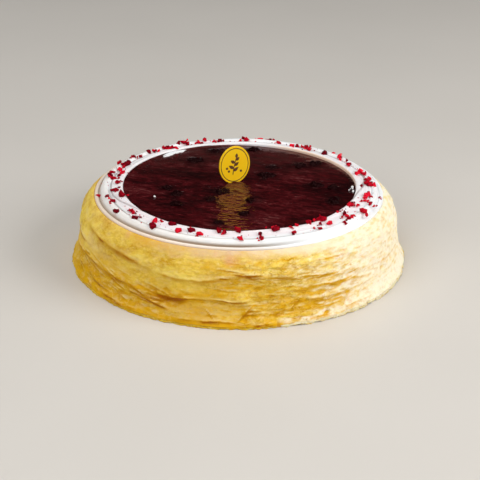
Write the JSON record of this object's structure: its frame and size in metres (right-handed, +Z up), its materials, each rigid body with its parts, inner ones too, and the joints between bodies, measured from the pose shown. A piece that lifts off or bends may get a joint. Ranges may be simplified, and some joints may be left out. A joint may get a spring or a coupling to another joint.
{
  "type": "crepe cake",
  "caption": "Round cake of stacked crepes with a smoothed cream ring, a pool of dark berry glaze, dried berry crumbs and a plain oval tag.",
  "frame": {"origin": "middle of the footprint's box, on the underside of the cake", "axes": "+Z up out of the top; -Y is the front, towards which the tag's face is turned; +X is to the right seen from the front"},
  "size_m": [0.2295, 0.2302, 0.0754],
  "materials": {
    "crepe": "soft thin crepe, golden yellow with browner streaks",
    "cream": "smoothed whipped cream, white, faint spatula lines",
    "crumb": "dried berry crumbs, dry, dark to bright red",
    "glaze": "dark berry glaze, wet gloss with low ripples",
    "berry": "cooked berries under a wet coat of glaze",
    "tag": "smooth yellow card, satin"
  },
  "bodies": {
    "root": {"crepe_cake": "crepe", "cream_ring": "cream", "berry_glaze": "glaze", "cake_tag": "tag", "berry_01": "berry", "berry_02": "berry", "berry_03": "berry", "berry_04": "berry", "berry_05": "berry", "berry_06": "berry", "berry_07": "berry", "berry_08": "berry", "berry_09": "berry", "berry_10": "berry", "berry_11": "berry", "berry_12": "berry", "berry_13": "berry", "berry_14": "berry", "berry_15": "berry", "berry_16": "berry", "berry_17": "berry", "berry_18": "berry"}
  },
  "joints": []
}
